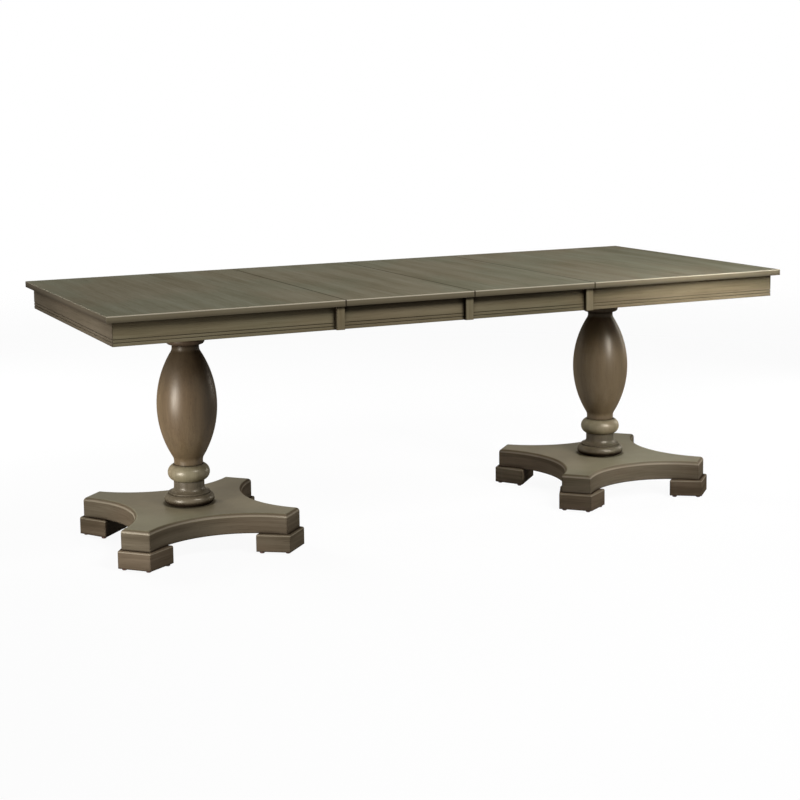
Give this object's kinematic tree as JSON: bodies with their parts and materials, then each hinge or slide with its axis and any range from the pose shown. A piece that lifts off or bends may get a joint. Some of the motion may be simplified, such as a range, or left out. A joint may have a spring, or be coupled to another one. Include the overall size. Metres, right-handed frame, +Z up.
{
  "type": "double pedestal dining table",
  "caption": "Extending rectangular dining table on turned baluster pedestals with four-armed block-footed bases, geared wooden slides and loose lift-out leaves.",
  "frame": {"origin": "on the floor, under the middle of the top", "axes": "+X along the table, +Y from the front to the back, +Z up"},
  "size_m": [2.1844, 0.95, 0.7649],
  "materials": {
    "top_veneer": "satin grey-brown stain",
    "apron_wood": "satin olive-brown stain",
    "turned_wood": "satin brown glaze",
    "base_wood": "satin grey-brown stain",
    "slide_wood": "waxed",
    "plain_wood": "bare",
    "gear_plastic": "moulded",
    "steel": "zinc plated",
    "glide_plastic": "moulded"
  },
  "bodies": {
    "centre_slides": {"front_centre_runner": "slide_wood", "back_centre_runner": "slide_wood", "pinion_axles": "steel"},
    "left_half": {"left_top": "top_veneer", "left_end_rail": "apron_wood", "left_front_rail": "apron_wood", "left_back_rail": "apron_wood", "left_corner_blocks": "plain_wood", "left_glue_blocks": "plain_wood", "left_front_runner": "slide_wood", "left_back_runner": "slide_wood", "left_racks": "gear_plastic", "left_screws": "steel", "left_alignment_pins": "plain_wood", "left_mounting_plate": "plain_wood", "left_collar": "turned_wood", "left_vase": "turned_wood", "left_ring": "turned_wood", "left_column_base": "turned_wood", "left_base_plate": "base_wood", "left_feet": "base_wood", "left_glides": "glide_plastic", "left_tie_rod": "steel", "left_tie_nuts": "steel", "left_joint_strips": "apron_wood"},
    "right_half": {"right_top": "top_veneer", "right_end_rail": "apron_wood", "right_front_rail": "apron_wood", "right_back_rail": "apron_wood", "right_corner_blocks": "plain_wood", "right_glue_blocks": "plain_wood", "right_front_runner": "slide_wood", "right_back_runner": "slide_wood", "right_racks": "gear_plastic", "right_screws": "steel", "right_alignment_pins": "plain_wood", "right_mounting_plate": "plain_wood", "right_collar": "turned_wood", "right_vase": "turned_wood", "right_ring": "turned_wood", "right_column_base": "turned_wood", "right_base_plate": "base_wood", "right_feet": "base_wood", "right_glides": "glide_plastic", "right_tie_rod": "steel", "right_tie_nuts": "steel"},
    "leaf_a": {"leaf_a_top": "top_veneer", "leaf_a_front_rail": "apron_wood", "leaf_a_back_rail": "apron_wood", "leaf_a_joint_strips": "apron_wood", "leaf_a_glue_blocks": "plain_wood"},
    "leaf_b": {"leaf_b_top": "top_veneer", "leaf_b_front_rail": "apron_wood", "leaf_b_back_rail": "apron_wood", "leaf_b_joint_strips": "apron_wood", "leaf_b_glue_blocks": "plain_wood"},
    "front_pinion_wheel": {"front_pinion": "gear_plastic"},
    "back_pinion_wheel": {"back_pinion": "gear_plastic"}
  },
  "joints": [
    {"name": "left_half_slide", "type": "slide", "parent": "centre_slides", "child": "left_half", "axis": [-1, 0, 0], "range_m": [0, 0.05]},
    {"name": "right_half_slide", "type": "slide", "parent": "centre_slides", "child": "right_half", "axis": [1, 0, 0], "range_m": [0, 0.05]},
    {"name": "front_pinion_turn", "type": "hinge", "parent": "centre_slides", "child": "front_pinion_wheel", "pos_m": [0, -0.22, 0.725], "axis": [0, 0, -1], "range_deg": [0, 111]},
    {"name": "back_pinion_turn", "type": "hinge", "parent": "centre_slides", "child": "back_pinion_wheel", "pos_m": [0, 0.22, 0.725], "axis": [0, 0, 1], "range_deg": [0, 111]},
    {"name": "leaf_a_lift", "type": "slide", "parent": "left_half", "child": "leaf_a", "axis": [0, 0, 1], "range_m": [0, 0.2]},
    {"name": "leaf_b_lift", "type": "slide", "parent": "right_half", "child": "leaf_b", "axis": [0, 0, 1], "range_m": [0, 0.2]}
  ],
  "couplings": [
    {"joint": "right_half_slide", "follows": "left_half_slide", "ratio": 1},
    {"joint": "front_pinion_turn", "follows": "left_half_slide", "rad_per_m": 38.462},
    {"joint": "back_pinion_turn", "follows": "left_half_slide", "rad_per_m": 38.462}
  ]
}
